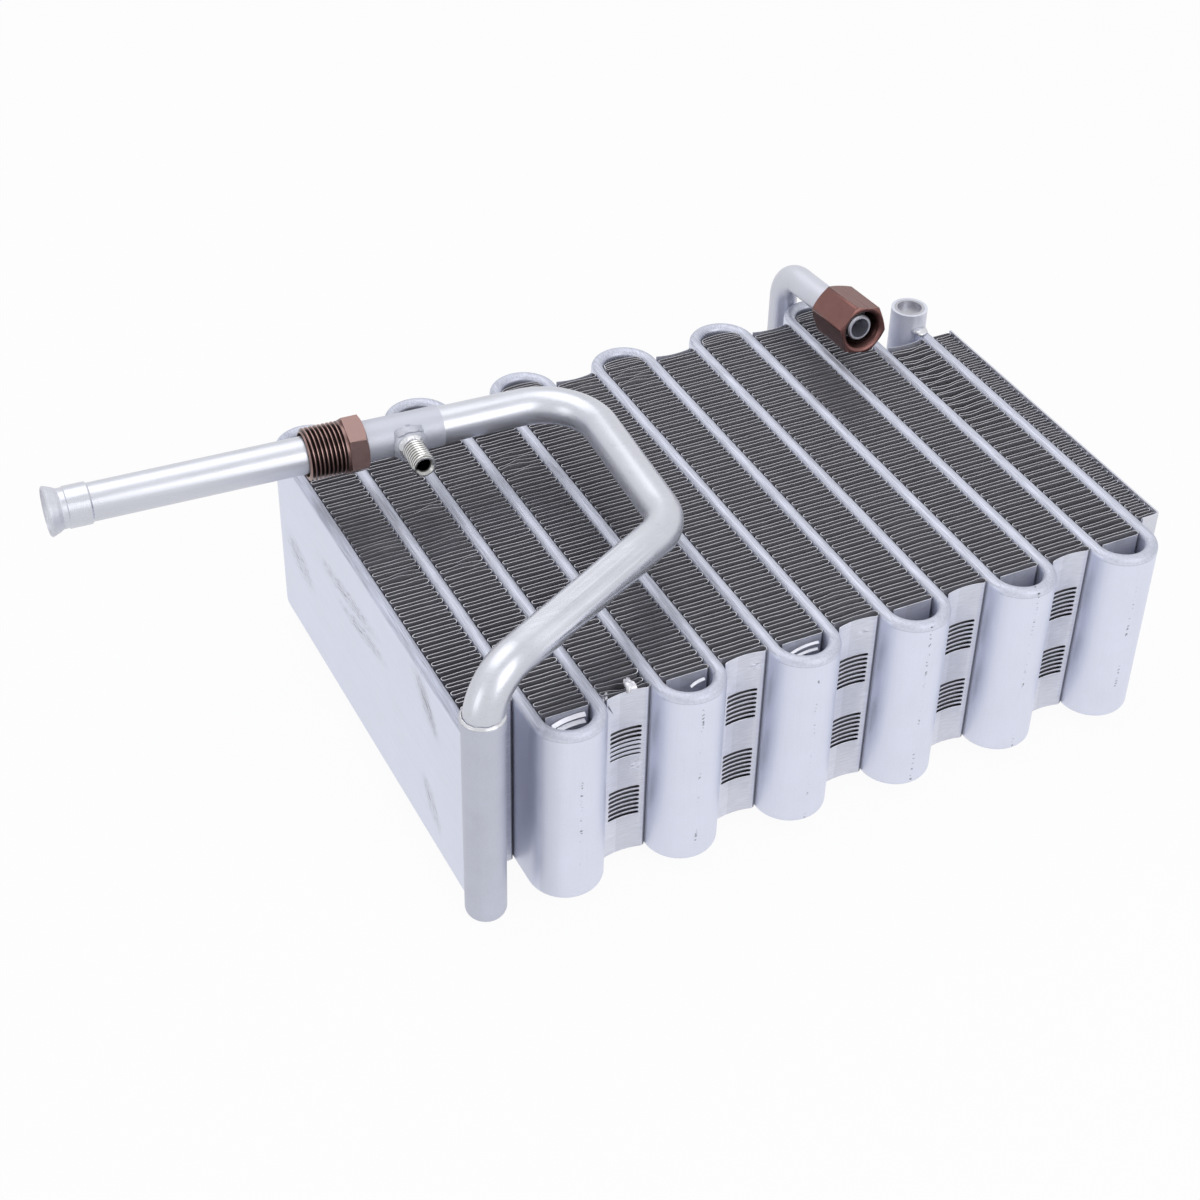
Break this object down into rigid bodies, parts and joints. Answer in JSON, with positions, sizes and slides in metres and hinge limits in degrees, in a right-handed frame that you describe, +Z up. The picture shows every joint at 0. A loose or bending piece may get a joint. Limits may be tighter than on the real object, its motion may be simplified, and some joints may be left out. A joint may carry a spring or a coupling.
{
  "type": "evaporator core",
  "caption": "Serpentine flat-tube evaporator core with corrugated louvred fins, upright headers, a bent suction pipe with service port, a short liquid pipe and union nuts.",
  "frame": {"origin": "middle of the footprint, at the level of the headers' bottoms", "axes": "+X across the tube's runs, +Y towards the back with the liquid pipe, +Z up, along the air flow"},
  "size_m": [0.4278, 0.2476, 0.1302],
  "materials": {
    "tube_aluminium": "matt brazed aluminium",
    "header_aluminium": "matt brazed aluminium with braze stains",
    "pipe_satin": "satin drawn aluminium",
    "fin_sheet": "bare fin sheet with bright cut edges",
    "anodised_brown": "brown anodised, turned"
  },
  "bodies": {
    "root": {"serpentine_tube": "tube_aluminium", "fin_strip_01": "fin_sheet", "fin_strip_02": "fin_sheet", "fin_strip_03": "fin_sheet", "fin_strip_04": "fin_sheet", "fin_strip_05": "fin_sheet", "fin_strip_06": "fin_sheet", "fin_strip_07": "fin_sheet", "fin_strip_08": "fin_sheet", "fin_strip_09": "fin_sheet", "fin_strip_10": "fin_sheet", "fin_strip_11": "fin_sheet", "fin_strip_12": "fin_sheet", "fin_strip_13": "fin_sheet", "side_plate": "tube_aluminium", "suction_header": "header_aluminium", "suction_pipe": "pipe_satin", "port_sleeve": "header_aluminium", "service_port": "pipe_satin", "inlet_header": "header_aluminium", "inlet_header_plug": "header_aluminium", "liquid_pipe": "header_aluminium"},
    "suction_nut": {"suction_nut": "anodised_brown"},
    "liquid_nut": {"liquid_nut": "anodised_brown"}
  },
  "joints": [
    {"name": "suction_nut_slide", "type": "slide", "parent": "root", "child": "suction_nut", "axis": [-0.9986, 0.0523, 0], "range_m": [0, 0.091]},
    {"name": "liquid_nut_turn", "type": "hinge", "parent": "root", "child": "liquid_nut", "pos_m": [0.15762, 0.05074, 0.11163], "axis": [0, -0.9969, 0.0785], "continuous": true}
  ]
}
